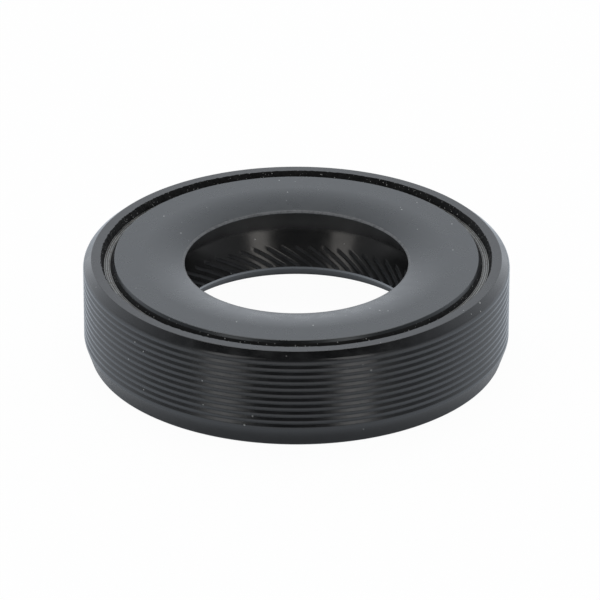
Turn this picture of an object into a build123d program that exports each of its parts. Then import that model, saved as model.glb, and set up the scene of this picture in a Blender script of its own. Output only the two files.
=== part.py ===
from build123d import *
import os
from math import atan, cos, degrees, dist, radians, sin, tan

# Radial shaft seal for a 62 mm housing bore and a 38 mm shaft: a rubber body moulded round
# a pressed steel case, with a garter spring round the sealing lip. It lies on its oil side,
# the Z axis is the shaft axis, and Z = 0 is the face that goes into the housing first.
# All sizes are in millimetres and degrees.

# Housing side
housing_bore = 62.0
width = 15.0
top_chamfer = 1.0
lead_in_depth = 1.0
lead_in_height = 2.95
foot_round = 0.6

# Ribbed outer surface: V grooves with a long lower side and a short upper side
flute_count = 10
flute_pitch = 1.04
flute_rise = 0.93
flute_below = 0.5
flute_above = 0.18
flute_depth = 0.28

# Steel case, an L-section ring
case_wall = 1.2
case_bend = 0.6
case_foot = 1.6
window_margin = 0.7
cover_thickness = 1.4
face_thickness = 1.05
film_thickness = 0.6

# Ring groove in the face, down to the bare steel
face_groove_inset = 2.165
face_groove_floor = 0.72
face_groove_flank = 31.5
face_edge_round = 0.15

# Face and dust lip: the face crowns down to a thin tip that reaches inside the main lip
dust_lip_reach = 1.84
dust_lip_tip = 0.1
dust_lip_bevel = 0.29
bevel_angle = 36.0
dust_lip_round = 0.9
crown_width = 6.5
crown_drop = 0.746

# Throat between the lips: the cone steepens at a crease and ends under the dust lip
crease_level = 9.3
crease_round = 1.5
throat_angle = 16.8
throat_top = 12.8
throat_round = 0.8

# Main lip
shaft_diameter = 38.0
lip_stretch = 0.9
lip_edge_height = 3.85
contact_land = 0.35
air_angle = 25.0
oil_angle = 37.0
toe_height = 1.46
toe_round = 0.1
membrane_thickness = 1.3
head_round = 0.4
shoulder_height = 1.6
neck_angle = 45.0
neck_round = 1.0
root_round = 1.0
wall_corner_round = 1.0
wall_foot_chamfer = 0.6

# Garter spring and its seat
spring_diameter = 2.0
spring_clearance = 0.05
spring_wall = 1.65
spring_offset = 0.65
spring_grip = 0.55

# Pumping ribs on the air side of the main lip
rib_count = 58
rib_angle = 32.0
rib_phase = 2.4
rib_rise = 2.8
rib_gap = 0.05
rib_height = 0.065
rib_upper_side = 0.16
rib_lower_side = 0.52
rib_run_out = 0.5
rib_end_slope = 0.2
rib_root = 0.04
rib_sunk_end = 0.01
rib_spans = 3

# Longest share of a wall that its fillets may take up
wall_share = 0.98

# Places that follow from the sizes above
seal_radius = housing_bore / 2
lip_radius = shaft_diameter / 2 - lip_stretch
dust_lip_radius = lip_radius - dust_lip_reach
case_outer = seal_radius - cover_thickness
case_inner = case_outer - case_wall
case_top = width - face_thickness
case_under = case_top - case_wall
wall_radius = case_inner - film_thickness
film_under = case_under - film_thickness
land_top = lip_edge_height + contact_land
toe_level = lip_edge_height - toe_height
tip_top = width - crown_drop - dust_lip_bevel * tan(radians(bevel_angle))
throat_height = throat_top - crease_level
spring_radius = spring_diameter / 2
seat_radius = spring_radius + spring_clearance
spring_ring = lip_radius + spring_wall + seat_radius
spring_level = lip_edge_height + spring_offset
head_radius = spring_ring + spring_grip
shoulder_level = spring_level + shoulder_height


def fitted_fillets(points, fillets):
    """The fillets, each made smaller where its two walls are too short for it."""
    count = len(points)
    tangents = []
    for i, fillet in enumerate(fillets):
        before = Vector(*points[i - 1]) - Vector(*points[i])
        after = Vector(*points[(i + 1) % count]) - Vector(*points[i])
        tangents.append(fillet / tan(radians(before.get_angle(after) / 2)))
    shares = []
    for i in range(count):
        needed = tangents[i - 1] + tangents[i]
        room = wall_share * dist(points[i - 1], points[i])
        shares.append(min(1, room / needed) if needed else 1)
    return [fillets[i] * min(shares[i], shares[(i + 1) % count]) for i in range(count)]


def ring(corners):
    """Revolve a closed section about Z. Each corner is (radius, height, fillet)."""
    points = [(r, 0, z) for r, z, fillet in corners]
    fillets = fitted_fillets(points, [fillet for r, z, fillet in corners])
    outline = FilletPolyline(*points, radius=fillets, close=True)
    return revolve(make_face(outline), Axis.Z)


def cone_radius(height):
    """Radius of the lip's air-side cone at a height."""
    return lip_radius + (height - land_top) * tan(radians(air_angle))


def membrane_radius(height):
    """Radius of the outer side of the membrane behind that cone."""
    return cone_radius(height) + membrane_thickness / cos(radians(air_angle))


def crown():
    """Corner, radius and end of the arc from the flat face to the dust lip's bevel."""
    arc = (crown_width**2 + crown_drop**2) / (2 * crown_drop)
    steepness = 2 * atan(crown_drop / crown_width)
    arc_end = dust_lip_radius + dust_lip_bevel
    corner = arc_end + crown_width - arc * tan(steepness / 2)
    return corner, arc, arc_end


def throat_radius():
    """Radius where the throat's wall meets the dust lip's underside, before rounding."""
    return cone_radius(crease_level) + throat_height * tan(radians(throat_angle))


def neck_corner():
    """Where the slope under the head's shoulder meets the membrane."""
    slope = tan(radians(neck_angle))
    gap = head_radius - membrane_radius(shoulder_level)
    rise = gap / (tan(radians(air_angle)) + slope)
    return membrane_radius(shoulder_level + rise), shoulder_level + rise


def flute_corners():
    """V grooves round the outside, upwards."""
    corners = []
    for number in range(flute_count):
        level = lead_in_height + flute_rise + number * flute_pitch
        corners.append((seal_radius, level - flute_below, 0))
        corners.append((seal_radius - flute_depth, level, 0))
        corners.append((seal_radius, level + flute_above, 0))
    return corners


def face_groove_corners():
    """Ring groove with sloping sides from the face down to the steel, inwards."""
    middle = case_outer - face_groove_inset
    half = face_groove_floor / 2
    mouth = half + face_thickness * tan(radians(face_groove_flank))
    return [
        (middle + mouth, width, 0),
        (middle + half, case_top, 0),
        (middle - half, case_top, 0),
        (middle - mouth, width, face_edge_round),
    ]


def body_blank():
    """The moulded rubber as if solid, without its case, spring seat and pumping ribs."""
    crown_corner, crown_round, crown_end = crown()
    neck_r, neck_z = neck_corner()
    toe_r = lip_radius + toe_height * tan(radians(oil_angle))
    return ring(
        [
            (seal_radius - lead_in_depth, 0, foot_round),
            (seal_radius, lead_in_height, 0),
            *flute_corners(),
            (seal_radius, width - top_chamfer, 0),
            (seal_radius - top_chamfer, width, 0),
            *face_groove_corners(),
            (crown_corner, width, crown_round),
            (crown_end, width - crown_drop, dust_lip_round),
            (dust_lip_radius, tip_top, 0),
            (dust_lip_radius, tip_top - dust_lip_tip, 0),
            (throat_radius(), throat_top, throat_round),
            (cone_radius(crease_level), crease_level, crease_round),
            (lip_radius, land_top, 0),
            (lip_radius, lip_edge_height, 0),
            (toe_r, toe_level, toe_round),
            (head_radius, toe_level, head_round),
            (head_radius, shoulder_level, head_round),
            (neck_r, neck_z, neck_round),
            (membrane_radius(film_under), film_under, root_round),
            (wall_radius, film_under, wall_corner_round),
            (wall_radius, wall_foot_chamfer, 0),
            (wall_radius + wall_foot_chamfer, 0, 0),
        ]
    )


def steel_case():
    """Pressed case: a short tube with an inward flange at the air side."""
    case_window = throat_radius() + window_margin
    return ring(
        [
            (case_outer, case_foot, 0),
            (case_outer, case_top, case_bend + case_wall),
            (case_window, case_top, 0),
            (case_window, case_under, 0),
            (case_inner, case_under, case_bend),
            (case_inner, case_foot, 0),
        ]
    )


def spring_seat():
    """Round groove in the lip's head, a little wider than the spring and open outwards."""
    return Pos(0, 0, spring_level) * Torus(spring_ring, seat_radius)


def garter_spring():
    """Close-wound spring as its outer envelope, pulled in against the seat's inner wall."""
    return Pos(0, 0, spring_level) * Torus(spring_ring - spring_clearance, spring_radius)


def rib_section(length, crest):
    """Section across a rib, at a length from its lip end, with its crest off the cone."""
    cone = radians(air_angle)
    lean = radians(rib_angle)
    height = land_top + rib_gap + length * cos(cone) * sin(lean)
    middle = land_top + rib_gap + rib_rise / 2
    turn = (height - middle) / (cos(cone) * tan(lean) * cone_radius(middle))
    along = (sin(cone) * sin(lean), cos(lean), cos(cone) * sin(lean))
    downward = (-sin(cone) * cos(lean), sin(lean), -cos(cone) * cos(lean))
    seat = Plane(origin=(cone_radius(height), 0, height), x_dir=downward, z_dir=along)
    depth = (crest + rib_root) / rib_height
    outline = Polyline(
        (0, crest),
        (-rib_upper_side * depth, -rib_root),
        (rib_lower_side * depth, -rib_root),
        close=True,
    )
    return Rot(0, 0, rib_phase + degrees(turn)) * (seat * make_face(outline))


def pumping_rib():
    """One slanted rib on the air-side cone, cut off level just above the contact land."""
    length = rib_rise / (cos(radians(air_angle)) * sin(radians(rib_angle)))
    span = (length - rib_run_out - rib_end_slope) / rib_spans
    full = [rib_run_out + number * span for number in range(rib_spans + 1)]
    sections = [rib_section(place, rib_height) for place in full]
    low_end = rib_section(0, -rib_sunk_end)
    high_end = rib_section(length, -rib_sunk_end)
    rib = loft([low_end, *sections, high_end], ruled=True)
    size = 2 * rib_rise
    return rib - Pos(lip_radius, 0, land_top + rib_gap - rib_rise) * Box(size, size, size)


def rubber_body():
    """The elastomer: outer cover, face, dust lip, main lip and the film inside the case."""
    body = body_blank() - steel_case() - spring_seat()
    rib = pumping_rib()
    return body + [Rot(0, 0, number * 360 / rib_count) * rib for number in range(rib_count)]


os.makedirs("parts", exist_ok=True)
export_step(rubber_body(), "parts/rubber_body.step")
export_step(steel_case(), "parts/steel_case.step")
export_step(garter_spring(), "parts/garter_spring.step")
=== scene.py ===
from math import acos, atan, atan2, ceil, cos, degrees, hypot, pi, radians, sin, tan

import bpy
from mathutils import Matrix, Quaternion, Vector, noise


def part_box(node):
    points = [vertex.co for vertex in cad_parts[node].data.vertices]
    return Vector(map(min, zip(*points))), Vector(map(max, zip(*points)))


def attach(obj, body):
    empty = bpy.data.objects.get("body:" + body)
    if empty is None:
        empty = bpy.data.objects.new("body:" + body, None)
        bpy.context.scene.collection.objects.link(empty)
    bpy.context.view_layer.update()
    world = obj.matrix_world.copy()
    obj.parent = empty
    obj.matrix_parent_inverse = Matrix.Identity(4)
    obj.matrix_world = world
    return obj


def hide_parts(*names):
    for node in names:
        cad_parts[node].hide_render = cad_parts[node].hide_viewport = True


# Radial shaft seal. Sizes are in millimetres and degrees, and MM turns them into Blender's
# metres. The Z axis is the shaft axis, the seal lies on its oil side at Z = 0, and the
# camera looks from the -Y side.
MM = 0.001
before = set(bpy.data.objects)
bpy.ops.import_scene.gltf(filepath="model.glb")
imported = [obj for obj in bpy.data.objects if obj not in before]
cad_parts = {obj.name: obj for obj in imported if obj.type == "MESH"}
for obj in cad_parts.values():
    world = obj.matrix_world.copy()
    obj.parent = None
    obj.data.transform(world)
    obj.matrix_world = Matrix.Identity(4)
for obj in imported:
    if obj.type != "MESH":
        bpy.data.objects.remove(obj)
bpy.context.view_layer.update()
body_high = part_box("rubber_body")[1]
case_low, case_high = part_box("steel_case")
spring_low, spring_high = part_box("garter_spring")


# ---------------------------------------------------------------- sizes of the solids

# The frame gives some of them. The others are the part's named sizes, apart from the
# crease's round and the ribs' height and widths, which follow the photo more closely here.
OUTER_R = body_high.x / MM
WIDTH = body_high.z / MM
TOP_CHAMFER = 1.0
LEAD_IN_DEPTH = 1.0
LEAD_IN_HEIGHT = 2.95
FOOT_ROUND = 0.6

FLUTES = 10
FLUTE_PITCH = 1.04
FLUTE_RISE = 0.93
FLUTE_BELOW = 0.50
FLUTE_ABOVE = 0.18
FLUTE_DEPTH = 0.28

CASE_WALL = 1.2
CASE_BEND = 0.6
CASE_OUTER = case_high.x / MM
CASE_INNER = CASE_OUTER - CASE_WALL
CASE_TOP = case_high.z / MM
CASE_UNDER = CASE_TOP - CASE_WALL
CASE_FOOT = case_low.z / MM
WINDOW_MARGIN = 0.7
FILM = 0.6

GROOVE_INSET = 2.165
GROOVE_MIDDLE = CASE_OUTER - GROOVE_INSET
GROOVE_FLOOR = 0.72
GROOVE_FLANK = 31.5
GROOVE_MOUTH = GROOVE_FLOOR / 2 + (WIDTH - CASE_TOP) * tan(radians(GROOVE_FLANK))

LIP_R = 18.1
LIP_LOW = 3.85
LIP_HIGH = 4.2
AIR_ANGLE = 25.0
OIL_ANGLE = 37.0
TOE_LEVEL = 2.39
TOE_ROUND = 0.1
DUST_LIP_R = 16.26
DUST_LIP_TIP = 0.1
DUST_LIP_BEVEL = 0.29
BEVEL_ANGLE = 36.0
DUST_LIP_ROUND = 0.9
CROWN_WIDTH = 6.5
CROWN_DROP = 0.746
CREASE_LEVEL = 9.3
CREASE_ROUND = 5.0
THROAT_ANGLE = 16.8
THROAT_TOP = 12.8
THROAT_ROUND = 0.8
MEMBRANE = 1.3

SPRING_CLEARANCE = 0.05
SPRING_GRIP = 0.55
SHOULDER_HEIGHT = 1.6
SPRING_R = (spring_high.z - spring_low.z) / 2 / MM
SPRING_LEVEL = (spring_high.z + spring_low.z) / 2 / MM
SPRING_RING = spring_high.x / MM - SPRING_R
SEAT_R = SPRING_R + SPRING_CLEARANCE
SEAT_RING = SPRING_RING + SPRING_CLEARANCE
HEAD_R = SEAT_RING + SPRING_GRIP
HEAD_ROUND = 0.4
SHOULDER = SPRING_LEVEL + SHOULDER_HEIGHT
NECK_ANGLE = 45.0
NECK_ROUND = 1.0
ROOT_ROUND = 1.0
WALL_CORNER_ROUND = 1.0
WALL_FOOT_CHAMFER = 0.6

# Pumping ribs. Upper and lower are the widths of a rib's sides, run-out and end are the
# lengths over which it fades at its lip end and at its far end.
RIBS = 58
RIB_GAP = 0.05
RIB_LOW = LIP_HIGH + RIB_GAP
RIB_RISE = 2.8
RIB_LEAN = 32.0
RIB_HEIGHT = 0.055
RIB_UPPER = 0.2
RIB_LOWER = 0.5
RIB_RUN_OUT = 0.5
RIB_END = 0.2
RIB_PHASE = 2.4
# Share of its full height above which a rib is dull
RIB_DULL = 0.3


# ---------------------------------------------------------------- outline of the rubber

# Rounding that moulded rubber has on edges which the solid leaves sharp
EDGE = 0.1
FACE_EDGE = 0.08
CHAMFER_ROUND = 0.9
RIM_ROUND = 0.15
FLUTE_CREST = 0.4
FLUTE_LIP = 0.08
FLUTE_ROOT = 0.12
LIP_EDGE = 0.04
SEAT_EDGE = 0.06
WALL_EDGE = 0.05
TINY = 0.02

# Wear: rounding of the face's edge on the camera's side, width lost by the rim, depth of the
# face groove's clean inner edge, and how far its torn outer side is cut back at the foot
WORN_FACE_EDGE = 0.25
RIM_WEAR = 0.18
CLEAN_DEPTH = 0.4
GROOVE_UNDERCUT = 0.15

# Angle between the points of a rounding, and the longest share of a wall that the roundings
# at its ends may take up
ARC_STEP = 24.0
WALL_SHARE = 0.98


def rounded(corners):
    """Points and outward normals round a closed outline of (radius, height, fillet, zone)."""
    count = len(corners)
    places = [Vector((r, z)) for r, z, fillet, zone in corners]
    legs = [places[(i + 1) % count] - places[i] for i in range(count)]
    turns = [legs[i - 1].angle_signed(legs[i]) for i in range(count)]
    reach = [corners[i][2] * tan(abs(turns[i]) / 2) for i in range(count)]
    share = [min(1.0, WALL_SHARE * legs[i].length / (reach[i] + reach[(i + 1) % count] or 1.0))
             for i in range(count)]
    points = []
    for i, (r, z, fillet, zone) in enumerate(corners):
        radius = fillet * min(share[i - 1], share[i])
        along = legs[i - 1].normalized()
        turn = -turns[i]
        side = Vector((-along.y, along.x)) * (1 if turn > 0 else -1)
        start = places[i] - along * radius * tan(abs(turn) / 2)
        middle = start + side * radius
        steps = max(2, ceil(degrees(abs(turn)) / ARC_STEP))
        for step in range(steps + 1):
            angle = turn * step / steps
            heading = Vector((along.x * cos(angle) - along.y * sin(angle),
                              along.x * sin(angle) + along.y * cos(angle)))
            normal = Vector((heading.y, -heading.x))
            place = middle + normal * radius * (1 if turn > 0 else -1)
            points.append((place, normal, zone))
    return points


def cone_r(height):
    """Radius of the lip's air-side cone at a height."""
    return LIP_R + (height - LIP_HIGH) * tan(radians(AIR_ANGLE))


def membrane_r(height):
    """Radius of the outer side of the membrane behind that cone."""
    return cone_r(height) + MEMBRANE / cos(radians(AIR_ANGLE))


# Radius at which the cone steepens into the throat below the dust lip
CREASE_R = cone_r(CREASE_LEVEL)


def rubber_corners(face_edge):
    """The section's corners (radius, height, fillet, zone of the wall that follows).

    They run anticlockwise: outside, face, dust lip, lip, spring seat and wall.
    """
    flute_low = LEAD_IN_HEIGHT + FLUTE_RISE
    flutes = []
    for number in range(FLUTES):
        level = flute_low + number * FLUTE_PITCH
        flutes += [(OUTER_R, level - FLUTE_BELOW, FLUTE_CREST, "flutes"),
                   (OUTER_R - FLUTE_DEPTH, level, FLUTE_ROOT, "flutes"),
                   (OUTER_R, level + FLUTE_ABOVE, FLUTE_LIP, "flutes")]

    throat_r = CREASE_R + (THROAT_TOP - CREASE_LEVEL) * tan(radians(THROAT_ANGLE))
    window = throat_r + WINDOW_MARGIN
    half = GROOVE_FLOOR / 2
    film_under = CASE_UNDER - FILM
    wall_r = CASE_INNER - FILM
    cavity = [(CASE_OUTER, CASE_TOP, CASE_BEND + CASE_WALL, "cavity"),
              (CASE_OUTER, CASE_FOOT, TINY, "cavity"),
              (CASE_INNER, CASE_FOOT, TINY, "cavity"),
              (CASE_INNER, CASE_UNDER, CASE_BEND, "cavity"),
              (window, CASE_UNDER, TINY, "cavity"),
              (window, CASE_TOP, TINY, "cavity")]

    steepness = 2 * atan(CROWN_DROP / CROWN_WIDTH)
    crown_round = (CROWN_WIDTH**2 + CROWN_DROP**2) / (2 * CROWN_DROP)
    crown_end = DUST_LIP_R + DUST_LIP_BEVEL
    crown_r = crown_end + CROWN_WIDTH - crown_round * tan(steepness / 2)
    crown_low = WIDTH - CROWN_DROP
    tip_top = crown_low - DUST_LIP_BEVEL * tan(radians(BEVEL_ANGLE))
    tip_low = tip_top - DUST_LIP_TIP
    toe_r = LIP_R + (LIP_LOW - TOE_LEVEL) * tan(radians(OIL_ANGLE))

    # The spring's seat: three corners outside its circle, filleted to an arc of it
    seat_mouth = acos((HEAD_R - SEAT_RING) / SEAT_R)
    seat_third = (2 * pi - 2 * seat_mouth) / 3
    seat_far = SEAT_R / cos(seat_third / 2)
    seat_angles = [seat_mouth + seat_third / 2, pi, -seat_mouth - seat_third / 2]
    seat = [(SEAT_RING + seat_far * cos(angle), SPRING_LEVEL - seat_far * sin(angle),
             SEAT_R, "head") for angle in seat_angles]
    seat_half = SEAT_R * sin(seat_mouth)

    neck_gap = HEAD_R - membrane_r(SHOULDER)
    neck_rise = neck_gap / (tan(radians(AIR_ANGLE)) + tan(radians(NECK_ANGLE)))
    neck_z = SHOULDER + neck_rise

    return [
        (OUTER_R - LEAD_IN_DEPTH, 0, FOOT_ROUND, "outside"),
        (OUTER_R, LEAD_IN_HEIGHT, EDGE, "outside"),
        *flutes,
        (OUTER_R, WIDTH - TOP_CHAMFER, CHAMFER_ROUND, "outside"),
        (OUTER_R - TOP_CHAMFER - RIM_WEAR, WIDTH, RIM_ROUND, "rim"),
        (GROOVE_MIDDLE + GROOVE_MOUTH, WIDTH, TINY, "trimmed"),
        (GROOVE_MIDDLE + half + GROOVE_UNDERCUT, CASE_TOP, TINY, "cavity"),
        *cavity,
        (GROOVE_MIDDLE - half, CASE_TOP, TINY, "flank"),
        (GROOVE_MIDDLE - GROOVE_MOUTH + CLEAN_DEPTH * tan(radians(GROOVE_FLANK)),
         WIDTH - CLEAN_DEPTH, TINY, "edge"),
        (GROOVE_MIDDLE - GROOVE_MOUTH, WIDTH, face_edge, "edge"),
        (crown_r, WIDTH, crown_round, "face"),
        (crown_end, crown_low, DUST_LIP_ROUND, "face"),
        (DUST_LIP_R, tip_top, LIP_EDGE, "face"),
        (DUST_LIP_R, tip_low, LIP_EDGE, "bore"),
        (throat_r, THROAT_TOP, THROAT_ROUND, "throat"),
        (CREASE_R, CREASE_LEVEL, CREASE_ROUND, "cone"),
        (LIP_R, LIP_HIGH, LIP_EDGE, "land"),
        (LIP_R, LIP_LOW, LIP_EDGE, "toe"),
        (toe_r, TOE_LEVEL, TOE_ROUND, "head"),
        (HEAD_R, TOE_LEVEL, HEAD_ROUND, "head"),
        (HEAD_R, SPRING_LEVEL - seat_half, SEAT_EDGE, "head"),
        *seat,
        (HEAD_R, SPRING_LEVEL + seat_half, SEAT_EDGE, "head"),
        (HEAD_R, SHOULDER, HEAD_ROUND, "head"),
        (membrane_r(neck_z), neck_z, NECK_ROUND, "head"),
        (membrane_r(film_under), film_under, ROOT_ROUND, "head"),
        (wall_r, film_under, WALL_CORNER_ROUND, "head"),
        (wall_r, WALL_FOOT_CHAMFER, WALL_EDGE, "head"),
        (CASE_INNER, 0, EDGE, "head"),
    ]


# ---------------------------------------------------------------- lathe mesh with ribs

# Columns per rib in plain rows and in the rows that carry fine relief
PLAIN_PER_RIB = 4
FINE_PER_RIB = 16
PLAIN = RIBS * PLAIN_PER_RIB
FINE = RIBS * FINE_PER_RIB

# Rows of fine relief over the ribs and down the torn side of the face groove
RIB_ROWS = 20
FLANK_ROWS = 6
RIB_ZONE_BELOW = 0.06
RIB_ZONE_ABOVE = 0.24
RIB_ZONE_LOW = LIP_HIGH + RIB_ZONE_BELOW
RIB_ZONE_HIGH = RIB_LOW + RIB_RISE + RIB_ZONE_ABOVE

# Torn side of the face groove, from three noises: the depth of each in mm, its waves per mm
# round the seal, and its waves per mm upwards (the first has a fixed level instead). The two
# finer ones are stronger towards one azimuth, and all are weaker at the groove's foot.
WAVES_DEPTH, WAVES_AROUND, WAVES_LEVEL = 0.10, 0.22, 4.0
TEETH_DEPTH, TEETH_AROUND, TEETH_UPWARD = 0.11, 1.9, 0.8
CRUMBS_DEPTH, CRUMBS_AROUND, CRUMBS_UPWARD = 0.05, 4.5, 3.0
TORN_LEAST, TORN_MORE = 0.6, 0.8
TORN_AZIMUTH, TORN_MIDDLE, TORN_SWING = 160.0, 0.5, 0.9
TORN_FOOT = 0.45

# The face's edge begins to be worn where -sin(azimuth) is at the first value, and is fully
# worn at the sum of both
WORN_FROM = 0.5
WORN_OVER = 0.35

# Upward part of a normal above which a row of the torn side counts as level
LEVEL_NORMAL = 0.99


def smooth(value):
    """Smooth step from 0 to 1."""
    value = min(1.0, max(0.0, value))
    return value * value * (3 - 2 * value)


def rib_azimuth(height):
    """Azimuth of a rib's middle line at a height, from its azimuth at half its rise."""
    slope = tan(radians(AIR_ANGLE))
    turns = 1 / (slope * tan(radians(RIB_LEAN)) * cos(radians(AIR_ANGLE)))
    middle = cone_r(RIB_LOW + RIB_RISE / 2)
    return turns * (cone_r(height) / middle - 1) + radians(RIB_PHASE)


def rib_height(column, height):
    """Height of the pumping ribs above the cone at a fine column of a row."""
    steps = (column + FINE_PER_RIB / 2) % FINE_PER_RIB - FINE_PER_RIB / 2
    sideways = steps * 2 * pi / FINE * cone_r(height)
    lean = radians(RIB_LEAN)
    length = RIB_RISE / (cos(radians(AIR_ANGLE)) * sin(lean))
    along = (height - RIB_LOW) / RIB_RISE * length + sideways * cos(lean)
    upward = -sideways * sin(lean)
    flank = max(0.0, min(1 - upward / RIB_UPPER, 1 + upward / RIB_LOWER))
    return RIB_HEIGHT * flank * smooth(along / RIB_RUN_OUT) * smooth((length - along) / RIB_END)


def trim(azimuth, height):
    """How far the torn inner edge of the rim stands in from its flank, by azimuth and height."""
    ring = Vector((cos(azimuth), sin(azimuth), 0)) * OUTER_R
    depth = (WIDTH - height) / (WIDTH - CASE_TOP)
    waves = noise.noise(ring * WAVES_AROUND + Vector((0, 0, WAVES_LEVEL)))
    teeth = noise.noise(ring * TEETH_AROUND + Vector((0, 0, height * TEETH_UPWARD)))
    crumbs = noise.noise(ring * CRUMBS_AROUND + Vector((0, 0, height * CRUMBS_UPWARD)))
    side = TORN_MIDDLE + TORN_SWING * cos(azimuth - radians(TORN_AZIMUTH))
    torn = TORN_LEAST + TORN_MORE * smooth(side)
    relief = WAVES_DEPTH * waves + torn * (TEETH_DEPTH * teeth + CRUMBS_DEPTH * crumbs)
    return relief * (1 - TORN_FOOT * depth)


def worn_share(azimuth):
    """Share of the worn face edge at an azimuth: all of it towards the camera's side."""
    return smooth((-sin(azimuth) - WORN_FROM) / WORN_OVER)


def rows_of_rubber(face_edge):
    """Rows of the lathe mesh: (place, normal, kind, zone). Kinds differ in their relief."""
    outline = rounded(rubber_corners(face_edge))
    rows = []
    for i, (place, normal, zone) in enumerate(outline):
        beyond, _, next_zone = outline[(i + 1) % len(outline)]
        kind = zone if zone in ("edge", "trimmed") else "plain"
        rows.append((place, normal, kind, zone))
        gap = beyond - place
        if zone == "cone" and next_zone == "land":
            for step in range(RIB_ROWS + 1):
                height = RIB_ZONE_HIGH + (RIB_ZONE_LOW - RIB_ZONE_HIGH) * step / RIB_ROWS
                share = (height - place.y) / gap.y
                rows.append((place + gap * share, normal, "ribs", zone))
        if zone == "trimmed" and next_zone == "cavity":
            for step in range(1, FLANK_ROWS + 1):
                share = step / (FLANK_ROWS + 1)
                rows.append((place + gap * share, normal, "trimmed", zone))
    return rows


def row_turns(rows):
    """Azimuth at which each row starts: rows over the ribs follow their slant."""
    last_rib = max(i for i, row in enumerate(rows) if row[2] == "ribs")
    turn_high = rib_azimuth(RIB_ZONE_HIGH)
    turn_low = rib_azimuth(RIB_ZONE_LOW)
    turns = []
    for i, (place, normal, kind, zone) in enumerate(rows):
        if kind == "ribs":
            turns.append(rib_azimuth(place.y))
        elif i < last_rib:
            turns.append(turn_high)
        else:
            back = (i - last_rib) / (len(rows) - last_rib)
            turns.append(turn_low + (turn_high - turn_low) * back)
    return turns


def row_points(row, worn, turn):
    """Points of one row, started at an azimuth. Worn is the same row of the worn outline."""
    place, normal, kind, zone = row
    count = FINE if kind in ("ribs", "trimmed") else PLAIN
    points = []
    for column in range(count):
        azimuth = turn + column * 2 * pi / count
        r, z = place
        if kind == "edge":
            r, z = place.lerp(worn[0], worn_share(azimuth))
        if kind == "ribs":
            lift = rib_height(column, place.y)
            r, z = r + normal.x * lift, z + normal.y * lift
        if kind == "trimmed":
            r -= trim(azimuth, z)
        points.append((r * cos(azimuth) * MM, r * sin(azimuth) * MM, z * MM))
    return points


def row_normals(row, worn, points):
    """Normals of a row's points, zero where the mesh's own normal is right."""
    place, normal, kind, zone = row
    if kind == "ribs" or (kind == "trimmed" and normal.y <= LEVEL_NORMAL):
        return [(0, 0, 0)] * len(points)
    normals = []
    for x, y, z in points:
        around = hypot(x, y)
        if kind == "edge":
            normal = row[1].lerp(worn[1], worn_share(atan2(y, x))).normalized()
        normals.append((normal.x * x / around, normal.x * y / around, normal.y))
    return normals


def strip(first, second):
    """Faces between two rows of vertex numbers, which may differ in count."""
    if len(first) == len(second):
        count = len(first)
        return [(first[i], first[(i + 1) % count], second[(i + 1) % count], second[i])
                for i in range(count)]
    fine, coarse = (first, second) if len(first) > len(second) else (second, first)
    step = len(fine) // len(coarse)
    faces = []
    for i, corner in enumerate(coarse):
        beyond = coarse[(i + 1) % len(coarse)]
        edge = [fine[(i * step + k) % len(fine)] for k in range(step + 1)]
        half = step // 2
        for k in range(step):
            faces.append((corner if k < half else beyond, edge[k + 1], edge[k]))
        faces.append((corner, beyond, edge[half]))
    if fine is first:
        return [face[::-1] for face in faces]
    return faces


# Slot of the material of each zone, in the order in which the materials are made below
SLOT_OF_ZONE = {"outside": 0, "flutes": 0, "trimmed": 1, "cavity": 1, "flank": 1, "edge": 2,
                "face": 2, "bore": 3, "throat": 3, "cone": 3, "head": 4, "ribs": 5, "land": 6,
                "rim": 7, "toe": 8}


def strip_slots(row, following, count):
    """Material slots of the faces between two rows: a rib is dull above a share of its height."""
    if not row[2] == following[2] == "ribs":
        return [SLOT_OF_ZONE[row[3]]] * count
    middle = (row[0].y + following[0].y) / 2
    dull = RIB_DULL * RIB_HEIGHT
    return [SLOT_OF_ZONE["ribs" if rib_height(column + 0.5, middle) > dull else "cone"]
            for column in range(count)]


def build_rubber(name):
    """The moulded rubber as one closed mesh."""
    rows = rows_of_rubber(FACE_EDGE)
    worn_rows = rows_of_rubber(WORN_FACE_EDGE)
    vertices, normals, numbers = [], [], []
    for row, worn, turn in zip(rows, worn_rows, row_turns(rows)):
        points = row_points(row, worn, turn)
        numbers.append(list(range(len(vertices), len(vertices) + len(points))))
        vertices += points
        normals += row_normals(row, worn, points)
    faces, slots = [], []
    for i, row in enumerate(rows):
        following = (i + 1) % len(rows)
        made = strip(numbers[i], numbers[following])
        faces += made
        slots += strip_slots(row, rows[following], len(made))
    mesh = bpy.data.meshes.new(name)
    mesh.from_pydata(vertices, [], faces)
    mesh.polygons.foreach_set("use_smooth", [True] * len(faces))
    mesh.polygons.foreach_set("material_index", slots)
    mesh.update()
    mesh.normals_split_custom_set_from_vertices(normals)
    mesh.validate()
    return link(name, mesh)


def link(name, data):
    """A new object in the scene."""
    made = bpy.data.objects.new(name, data)
    bpy.context.scene.collection.objects.link(made)
    return made


# ---------------------------------------------------------------- garter spring

# Thickness of the wire and gap between its turns
WIRE = 0.4
COIL_GAP = 0.02
WIRE_SIDES = 8
STEPS_PER_TURN = 14


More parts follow.
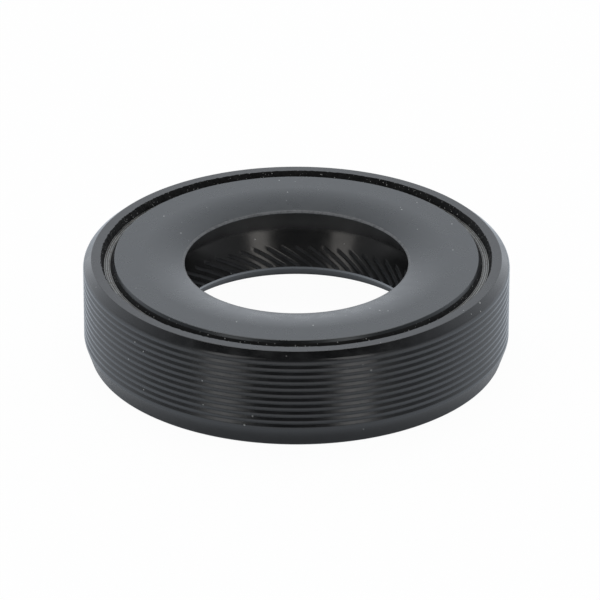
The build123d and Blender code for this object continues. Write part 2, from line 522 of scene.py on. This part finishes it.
def build_spring(name):
    """Close-wound coil bent into a ring, inside the solid's envelope."""
    coil_r = SPRING_R - WIRE / 2
    turns = int(2 * pi * SPRING_RING / (WIRE + COIL_GAP))
    count = turns * STEPS_PER_TURN
    vertices, faces = [], []
    for step in range(count):
        around = 2 * pi * step / count
        winding = 2 * pi * step / STEPS_PER_TURN
        out = Vector((cos(around), sin(around), 0))
        ahead = Vector((-sin(around), cos(around), 0))
        spoke = out * cos(winding) + Vector((0, 0, sin(winding)))
        middle = out * SPRING_RING + Vector((0, 0, SPRING_LEVEL)) + spoke * coil_r
        sweep = Vector((0, 0, cos(winding))) - out * sin(winding)
        run = (sweep * coil_r * turns + ahead * SPRING_RING).normalized()
        side = run.cross(spoke)
        for corner in range(WIRE_SIDES):
            angle = 2 * pi * corner / WIRE_SIDES
            place = middle + (spoke * cos(angle) + side * sin(angle)) * WIRE / 2
            vertices.append(place * MM)
            base, following = step * WIRE_SIDES, (step + 1) % count * WIRE_SIDES
            beyond = (corner + 1) % WIRE_SIDES
            faces.append((base + corner, base + beyond, following + beyond, following + corner))
    mesh = bpy.data.meshes.new(name)
    mesh.from_pydata(vertices, [], faces)
    mesh.polygons.foreach_set("use_smooth", [True] * len(faces))
    mesh.update()
    return link(name, mesh)


# ---------------------------------------------------------------- materials

NOISE_ROUGHNESS = 0.55


class Nodes:
    """A material's or world's node tree. All calls but add return a node's output."""

    def __init__(self, owner):
        owner.use_nodes = True
        self.tree = owner.node_tree
        self.tree.nodes.clear()

    def add(self, kind, inputs=None, **settings):
        """A new node. An input is a value or another node's output."""
        node = self.tree.nodes.new(kind)
        for key, value in settings.items():
            setattr(node, key, value)
        for key, value in (inputs or {}).items():
            if isinstance(value, bpy.types.NodeSocket):
                self.tree.links.new(value, node.inputs[key])
            else:
                node.inputs[key].default_value = value
        return node

    def place(self):
        """Place on the object, in metres."""
        return self.add("ShaderNodeTexCoord").outputs["Object"]

    def math(self, operation, first, second=0.0, third=0.0):
        """Result of a math operation. MULTIPLY_ADD is first * second + third."""
        node = self.add("ShaderNodeMath", {0: first, 1: second, 2: third},
                        operation=operation)
        return node.outputs[0]

    def step(self, value, low, high, to_low=0.0, to_high=1.0):
        """Smooth step of a value from one range to another."""
        node = self.add("ShaderNodeMapRange",
                        {"Value": value, "From Min": low, "From Max": high,
                         "To Min": to_low, "To Max": to_high},
                        interpolation_type="SMOOTHSTEP")
        return node.outputs["Result"]

    def step_mm(self, value, low, high, to_low=0.0, to_high=1.0):
        """The same with the first range in millimetres."""
        return self.step(value, low * MM, high * MM, to_low, to_high)

    def noise(self, place, size, detail=3.0):
        """Noise whose grains are about a size in millimetres."""
        node = self.add("ShaderNodeTexNoise",
                        {"Vector": place, "Scale": 1 / (size * MM), "Detail": detail,
                         "Roughness": NOISE_ROUGHNESS})
        return node.outputs["Fac"]

    def radius(self, place):
        """Distance of a place from the Z axis."""
        axes = self.add("ShaderNodeSeparateXYZ", {"Vector": place})
        squares = [self.math("POWER", axes.outputs[axis], 2.0) for axis in (0, 1)]
        return self.math("SQRT", self.math("ADD", *squares))

    def mix(self, share, first, second):
        """Mix of two colours. The colour sockets of this node are numbers 6, 7 and 2."""
        node = self.add("ShaderNodeMix", {0: share, 6: first, 7: second}, data_type="RGBA")
        return node.outputs[2]


# Colours of the rubber. The first four are pairs: as moulded, and where it is worn.
BLACK = ((0.0045, 0.0047, 0.0051, 1), (0.0070, 0.0073, 0.0078, 1))
TORN = ((0.0060, 0.0061, 0.0062, 1), (0.0160, 0.0160, 0.0158, 1))
LIP = ((0.0120, 0.0118, 0.0118, 1), (0.0165, 0.0162, 0.0159, 1))
RIB = ((0.0170, 0.0168, 0.0168, 1), (0.0230, 0.0226, 0.0222, 1))
# Pale grey: painted in patches on the dust lip's edge as its highlight, and mixed thinly into the
# lip's cone near its foot
PALE_GREY = (0.15, 0.152, 0.155, 1)
DUST = (0.3, 0.3, 0.29, 1)

# Tints of the rubber's reflections
NO_TINT = (1, 1, 1, 1)
FACE_TINT = (0.94, 0.98, 1, 1)
LIP_TINT = (1, 0.965, 0.92, 1)

# Mottle of the rubber: its size in mm, its detail, and the noise levels between which the
# colour and the roughness change
MOTTLE_SIZE = 2.4
MOTTLE_DETAIL = 4.0
MOTTLE_COLOUR = (0.35, 0.7)
MOTTLE_ROUGHNESS = (0.3, 0.7)
GRAIN_DETAIL = 2.0
RUBBER_IOR = 1.6

# A ring of painted highlight on the dust lip's edge, in pale grey patches: size of its
# patches in mm, their noise levels and the shares at those, and what it adds to the roughness
# and takes from the shine
TIP_HIGHLIGHT_PATCH = 0.5
TIP_HIGHLIGHT_SHARE = (0.3, 0.55, 0.6, 1.0)
TIP_HIGHLIGHT_ROUGHER = 0.3
TIP_HIGHLIGHT_DULLER = 0.3

# Rings by distance from the axis, each from the full effect to none
# The first ring is where the dust lip's edge gets its painted highlight
TIP_HIGHLIGHT_RING = (DUST_LIP_R + 0.24, DUST_LIP_R + 0.36)
PALED_LIP = (LIP_R + 0.2, LIP_R + 1.7)
MATT_THROAT = (CREASE_R + 0.35, CREASE_R - 0.25)


def rubber(name, rough, grain, relief, dust, colours=BLACK, shine=0.5, tint=NO_TINT,
           cell=1.2, speck=0.12, paled=None, matt=None, painted_highlight=None):
    """Moulded rubber.

    Rough is the range of the roughness. Grain and relief are the size and the height of the
    fine grain in mm. Dust is the share of the cells, each about cell mm wide, that hold a
    speck, and speck is the radius of the largest one as a share of a cell. Paled is a ring
    and its share of the pale grey, matt is a ring and the roughness it adds, and
    painted_highlight is a ring where pale grey patches are painted on as a highlight.
    """
    material = bpy.data.materials.new(name)
    nodes = Nodes(material)
    place = nodes.place()
    mottle = nodes.noise(place, MOTTLE_SIZE, MOTTLE_DETAIL)
    fine = nodes.noise(place, grain, GRAIN_DETAIL)
    specks = nodes.add("ShaderNodeTexVoronoi", {"Vector": place, "Scale": 1 / (cell * MM)})
    draws = nodes.add("ShaderNodeSeparateColor", {"Color": specks.outputs["Color"]})
    chosen = nodes.math("GREATER_THAN", draws.outputs[0], 1 - dust)
    size = nodes.math("MULTIPLY", draws.outputs[1], speck)
    near = nodes.math("LESS_THAN", specks.outputs["Distance"], size)
    dusty = nodes.math("MULTIPLY", chosen, near)
    colour = nodes.mix(nodes.step(mottle, *MOTTLE_COLOUR), *colours)
    roughness = nodes.step(mottle, *MOTTLE_ROUGHNESS, *rough)
    if paled:
        full, none, most = paled
        share = nodes.step_mm(nodes.radius(place), full, none, most, 0.0)
        colour = nodes.mix(share, colour, PALE_GREY)
    if matt:
        full, none, added = matt
        share = nodes.step_mm(nodes.radius(place), none, full, 0.0, added)
        roughness = nodes.math("ADD", roughness, share)
    # Painted highlight: pale grey patches round the dust lip's edge, which is made rougher and
    # duller there
    if painted_highlight:
        share = nodes.step_mm(nodes.radius(place), *painted_highlight, 1.0, 0.0)
        patchy = nodes.step(nodes.noise(place, TIP_HIGHLIGHT_PATCH), *TIP_HIGHLIGHT_SHARE)
        colour = nodes.mix(nodes.math("MULTIPLY", share, patchy), colour, PALE_GREY)
        roughness = nodes.math("MULTIPLY_ADD", share, TIP_HIGHLIGHT_ROUGHER, roughness)
        shine = nodes.math("MULTIPLY_ADD", share, -TIP_HIGHLIGHT_DULLER, shine)
    colour = nodes.mix(dusty, colour, DUST)
    bump = nodes.add("ShaderNodeBump",
                     {"Height": fine, "Distance": relief * MM, "Strength": 1.0})
    shader = nodes.add("ShaderNodeBsdfPrincipled",
                       {"Base Color": colour, "Roughness": roughness, "IOR": RUBBER_IOR,
                        "Specular IOR Level": shine, "Specular Tint": tint,
                        "Normal": bump.outputs["Normal"]})
    nodes.add("ShaderNodeOutputMaterial", {"Surface": shader.outputs[0]})
    return material


# Fine rings in the steel: pitch, waver and depth in mm, the size of the waver's noise, and
# how much the rings count in the shade
STEEL_RING_PITCH = 0.3
STEEL_RING_WAVER = 0.06
STEEL_RING_DEPTH = 0.012
STEEL_WAVER_SIZE = 3.0
STEEL_RING_SHADE = 0.3

# Stain and dirt on the steel: sizes in mm, details, noise levels and what they give
STEEL_STAIN_SIZE = 0.9
STEEL_STAIN_DETAIL = 5.0
STEEL_SHADES = (0.1, 0.9)
STEEL_DIRT_SIZE = 0.45
STEEL_DIRT_DETAIL = 4.0
STEEL_DIRT_SHARE = (0.5, 0.68, 0.0, 0.75)
STEEL_ROUGHNESS = (0.3, 0.7, 0.38, 0.6)
STEEL_METALLIC = 0.85
STEEL_DARK = (0.055, 0.055, 0.053, 1)
STEEL_LIGHT = (0.27, 0.27, 0.26, 1)
STEEL_DIRT = (0.06, 0.045, 0.032, 1)


def pressed_steel(name):
    """Dull sheet steel with fine rings left by the mould's sealing edge."""
    material = bpy.data.materials.new(name)
    nodes = Nodes(material)
    place = nodes.place()
    waver = nodes.math("MULTIPLY", nodes.noise(place, STEEL_WAVER_SIZE), STEEL_RING_WAVER * MM)
    phase = nodes.math("MULTIPLY", nodes.math("ADD", nodes.radius(place), waver),
                       2 * pi / (STEEL_RING_PITCH * MM))
    rings = nodes.math("SINE", phase)
    stain = nodes.noise(place, STEEL_STAIN_SIZE, STEEL_STAIN_DETAIL)
    shade = nodes.math("MULTIPLY_ADD", rings, STEEL_RING_SHADE, stain)
    colour = nodes.mix(nodes.step(shade, *STEEL_SHADES), STEEL_DARK, STEEL_LIGHT)
    dirt = nodes.step(nodes.noise(place, STEEL_DIRT_SIZE, STEEL_DIRT_DETAIL), *STEEL_DIRT_SHARE)
    colour = nodes.mix(dirt, colour, STEEL_DIRT)
    bump = nodes.add("ShaderNodeBump", {"Height": rings, "Distance": STEEL_RING_DEPTH * MM})
    shader = nodes.add("ShaderNodeBsdfPrincipled",
                       {"Base Color": colour, "Metallic": STEEL_METALLIC,
                        "Roughness": nodes.step(stain, *STEEL_ROUGHNESS),
                        "Normal": bump.outputs["Normal"]})
    nodes.add("ShaderNodeOutputMaterial", {"Surface": shader.outputs[0]})
    return material


# Drawing marks on the spring's wire: size in mm, detail, and noise levels with the roughness
WIRE_MARK_SIZE = 0.3
WIRE_MARK_DETAIL = 4.0
WIRE_ROUGHNESS = (0.3, 0.7, 0.24, 0.4)
WIRE_DARK = (0.38, 0.37, 0.35, 1)
WIRE_LIGHT = (0.58, 0.57, 0.55, 1)


def spring_wire(name):
    """Drawn steel wire."""
    material = bpy.data.materials.new(name)
    nodes = Nodes(material)
    marks = nodes.noise(nodes.place(), WIRE_MARK_SIZE, WIRE_MARK_DETAIL)
    shader = nodes.add("ShaderNodeBsdfPrincipled",
                       {"Base Color": nodes.mix(marks, WIRE_DARK, WIRE_LIGHT), "Metallic": 1.0,
                        "Roughness": nodes.step(marks, *WIRE_ROUGHNESS)})
    nodes.add("ShaderNodeOutputMaterial", {"Surface": shader.outputs[0]})
    return material


# ---------------------------------------------------------------- the pieces

# In the order of the slots in SLOT_OF_ZONE
RUBBERS = (
    rubber("rubber_outside", rough=(0.19, 0.27), grain=0.35, relief=0.004, dust=0.2,
           shine=0.53),
    rubber("rubber_trimmed", rough=(0.6, 0.75), grain=0.16, relief=0.05, dust=0.9,
           colours=TORN, shine=0.15, cell=0.4, speck=0.25),
    # The face carries the painted highlight on the dust lip's edge
    rubber("rubber_face", rough=(0.26, 0.32), grain=0.3, relief=0.0008, dust=0.25,
           shine=0.53, tint=FACE_TINT, painted_highlight=TIP_HIGHLIGHT_RING),
    rubber("rubber_lip", rough=(0.16, 0.22), grain=0.3, relief=0.0015, dust=0.12,
           colours=LIP, shine=0.48, tint=LIP_TINT, paled=(*PALED_LIP, 0.05),
           matt=(*MATT_THROAT, 0.22)),
    rubber("rubber_oil_side", rough=(0.3, 0.4), grain=0.3, relief=0.003, dust=0.0),
    rubber("rubber_ribs", rough=(0.36, 0.46), grain=0.3, relief=0.002, dust=0.02,
           colours=RIB, shine=0.22, paled=(*PALED_LIP, 0.06)),
    rubber("rubber_land", rough=(0.16, 0.22), grain=0.3, relief=0.0015, dust=0.1,
           colours=LIP, shine=0.5),
    rubber("rubber_rim", rough=(0.26, 0.34), grain=0.35, relief=0.003, dust=0.1,
           shine=0.45),
    rubber("rubber_toe", rough=(0.3, 0.4), grain=0.3, relief=0.0015, dust=0.1,
           colours=LIP, shine=0.13),
)

seal = build_rubber("rubber_moulding")
for made in RUBBERS:
    seal.data.materials.append(made)
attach(seal, "root")
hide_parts("rubber_body")

spring = build_spring("garter_coil")
spring.data.materials.append(spring_wire("spring_wire"))
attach(spring, "root")
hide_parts("garter_spring")

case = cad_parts["steel_case"]
case.data.materials.clear()
case.data.materials.append(pressed_steel("case_steel"))


# ---------------------------------------------------------------- floor, light and camera

# The floor is FLOOR_WIDTH metres wide and lies FLOOR_DROP mm below the seal
FLOOR_WIDTH = 3.0
FLOOR_DROP = 0.01
FLOOR_PAPER = (0.9, 0.9, 0.9, 1)
FLOOR_SEEN = (1, 1, 1, 1)
FLOOR_REFLECTED = (0.92, 1, 1.1, 1)

# Share of the floor that is evenly white: for the camera, round the axis for all rays, and
# in reflections away from the seal's foot, behind a line in front of it, and below its hole.
# Each range is (from, to) in mm from the axis, or along Y, with the shares at both.
WHITE_FOR_CAMERA = 0.97
WHITE_IN_HOLE = (11, 17, 0.84, 0.0)
WHITE_FROM_FOOT = (30.5, 33.5, 0.0, 1.0)
WHITE_FROM_FRONT = (-52, -26, 0.15, 1.0)
WHITE_BELOW_HOLE = (16.5, 20.5, 1.0, 0.22)

# Added light of the floor below the hole in reflections, which the sealing edge shows
GLARE_BELOW_HOLE = (9, 12.5, 0.0, 1.6)
GLARE_ENDS = (16.5, 20.5, 1.0, 0.0)


def studio_floor(name):
    """White paper, with the light that it sends out set by what looks at it."""
    bpy.ops.mesh.primitive_plane_add(size=FLOOR_WIDTH, location=(0, 0, -FLOOR_DROP * MM))
    floor = bpy.context.object
    floor.name = name
    paper = bpy.data.materials.new("floor_paper")
    nodes = Nodes(paper)
    rays = nodes.add("ShaderNodeLightPath").outputs
    place = nodes.place()
    away = nodes.radius(place)
    along = nodes.add("ShaderNodeSeparateXYZ", {"Vector": place}).outputs[1]
    inside = nodes.step_mm(away, *WHITE_IN_HOLE)
    direct = nodes.math("MULTIPLY", rays["Is Camera Ray"], WHITE_FOR_CAMERA)
    clear = nodes.math("MULTIPLY", nodes.step_mm(away, *WHITE_FROM_FOOT),
                       nodes.step_mm(along, *WHITE_FROM_FRONT))
    below = nodes.step_mm(away, *WHITE_BELOW_HOLE)
    mirrored = nodes.math("MULTIPLY", rays["Is Glossy Ray"],
                          nodes.math("MAXIMUM", clear, below))
    lit = nodes.math("MAXIMUM", inside, nodes.math("MAXIMUM", direct, mirrored))
    glare = nodes.math("MULTIPLY", nodes.step_mm(away, *GLARE_BELOW_HOLE),
                       nodes.step_mm(away, *GLARE_ENDS))
    strength = nodes.math("MULTIPLY_ADD", rays["Is Glossy Ray"], glare, 1.0)
    shade = nodes.mix(rays["Is Camera Ray"], FLOOR_REFLECTED, FLOOR_SEEN)
    matt = nodes.add("ShaderNodeBsdfDiffuse", {"Color": FLOOR_PAPER})
    white = nodes.add("ShaderNodeEmission", {"Color": shade, "Strength": strength})
    both = nodes.add("ShaderNodeMixShader", {0: lit, 1: matt.outputs[0], 2: white.outputs[0]})
    nodes.add("ShaderNodeOutputMaterial", {"Surface": both.outputs[0]})
    floor.data.materials.append(paper)


# Light of the studio by direction. Up and across are parts of the direction's unit vector,
# and each range is (from, to, light at the first, light at the second).
WALL_BY_UP = (0.4, 1.0, 1.15, 0.7)
HAZE_BY_UP = (0.0, 0.5, 0.54, 0.0)
WALL_BY_ACROSS = (0.6, 0.9, 1.0, 0.68)
FRONT_LOW_BY_UP = (0.0, 0.35, 0.36, 0.0)
FRONT_BY_ACROSS = (0.4, 0.8, 0.0, 0.18)
FRONT_LESS_BY_ACROSS = (0.8, 0.95, 0.0, -0.06)
FRONT_HIGH_BY_UP = (0.5, 0.8, 0.08, 0.0)

# The front gives way to the wall over this range of the part towards the back, which a
# direction that looks up has to exceed by a share of its upward part
BACK_RANGE = (-0.75, 0.3)
BACK_LESS_BY_UP = 0.6
STUDIO_TINT = (0.95, 1.0, 1.07, 1)
BACKDROP = (1, 1, 1, 1)


def studio_world(name):
    """White wall behind the seal, dimmer above and at the sides, and a dim glow in front."""
    world = bpy.data.worlds.new(name)
    bpy.context.scene.world = world
    nodes = Nodes(world)
    direction = nodes.add("ShaderNodeTexCoord").outputs["Generated"]
    axes = nodes.add("ShaderNodeSeparateXYZ", {"Vector": direction})
    back, up = axes.outputs[1], axes.outputs[2]
    across = nodes.math("ABSOLUTE", axes.outputs[0])
    wall = nodes.math("ADD", nodes.step(up, *WALL_BY_UP), nodes.step(up, *HAZE_BY_UP))
    wall = nodes.math("MULTIPLY", wall, nodes.step(across, *WALL_BY_ACROSS))
    front = nodes.step(up, *FRONT_LOW_BY_UP)
    for part, light in ((across, FRONT_BY_ACROSS), (across, FRONT_LESS_BY_ACROSS),
                        (up, FRONT_HIGH_BY_UP)):
        front = nodes.math("ADD", front, nodes.step(part, *light))
    behind = nodes.step(nodes.math("MULTIPLY_ADD", up, -BACK_LESS_BY_UP, back), *BACK_RANGE)
    level = nodes.math("MULTIPLY_ADD", behind, nodes.math("SUBTRACT", wall, front), front)
    studio = nodes.add("ShaderNodeBackground", {"Color": STUDIO_TINT, "Strength": level})
    plain = nodes.add("ShaderNodeBackground", {"Color": BACKDROP, "Strength": 1.0})
    camera_ray = nodes.add("ShaderNodeLightPath").outputs["Is Camera Ray"]
    both = nodes.add("ShaderNodeMixShader", {0: camera_ray, 1: studio.outputs[0],
                                             2: plain.outputs[0]})
    nodes.add("ShaderNodeOutputWorld", {"Surface": both.outputs[0]})


SOFTBOX_DISTANCE = 0.8


def softbox(name, azimuth, elevation, wide, high, radiance):
    """Area lamp aimed at the seal, SOFTBOX_DISTANCE metres away.

    Azimuth 0 is the camera's side and 90 is +X. Wide and high are angles.
    """
    lamp = bpy.data.lights.new(name, "AREA")
    lamp.shape = "RECTANGLE"
    lamp.size = 2 * SOFTBOX_DISTANCE * tan(radians(wide / 2))
    lamp.size_y = 2 * SOFTBOX_DISTANCE * tan(radians(high / 2))
    lamp.energy = radiance * pi * lamp.size * lamp.size_y
    made = link(name, lamp)
    a, e = radians(azimuth), radians(elevation)
    toward = Vector((sin(a) * cos(e), -cos(a) * cos(e), sin(e)))
    made.location = toward * SOFTBOX_DISTANCE
    made.rotation_euler = toward.to_track_quat("Z", "Y").to_euler()
    made.visible_camera = False


studio_floor("studio_floor")
studio_world("studio")
softbox("softbox_right", azimuth=31.5, elevation=35.0, wide=15.0, high=41.0, radiance=1.6)
softbox("softbox_left", azimuth=-39.3, elevation=35.0, wide=17.4, high=41.0, radiance=1.25)
softbox("softbox_top", azimuth=180.0, elevation=77.0, wide=50.0, high=30.0, radiance=2.7)

# Camera from the fit to the rim, face and opening in the 600 x 600 frame. Distance and aim
# are in mm, the focal length in pixels, the sensor in mm and the clipping in metres.
VIEW_ELEVATION = 26.738
VIEW_DISTANCE = 956.0
VIEW_ROLL = 0.066
AIM = Vector((0.522, -2.847, 9.348))
FOCAL_PIXELS = 6581.0
FRAME_PIXELS = 600
SENSOR = 36.0
CLIP_START = 0.05
CLIP_END = 10.0


def studio_camera(name):
    """The photo's camera."""
    data = bpy.data.cameras.new(name)
    data.sensor_width = SENSOR
    data.lens = FOCAL_PIXELS * SENSOR / FRAME_PIXELS
    data.clip_start = CLIP_START
    data.clip_end = CLIP_END
    camera = link(name, data)
    e = radians(VIEW_ELEVATION)
    toward = Vector((0, -cos(e), sin(e)))
    camera.location = (toward * VIEW_DISTANCE + Vector((0, 0, WIDTH))) * MM
    gaze = AIM * MM - camera.location
    roll = Quaternion((0, 0, 1), radians(VIEW_ROLL))
    camera.rotation_euler = (gaze.to_track_quat("-Z", "Y") @ roll).to_euler()
    bpy.context.scene.camera = camera


studio_camera("camera")
bpy.context.scene.view_settings.view_transform = "Standard"
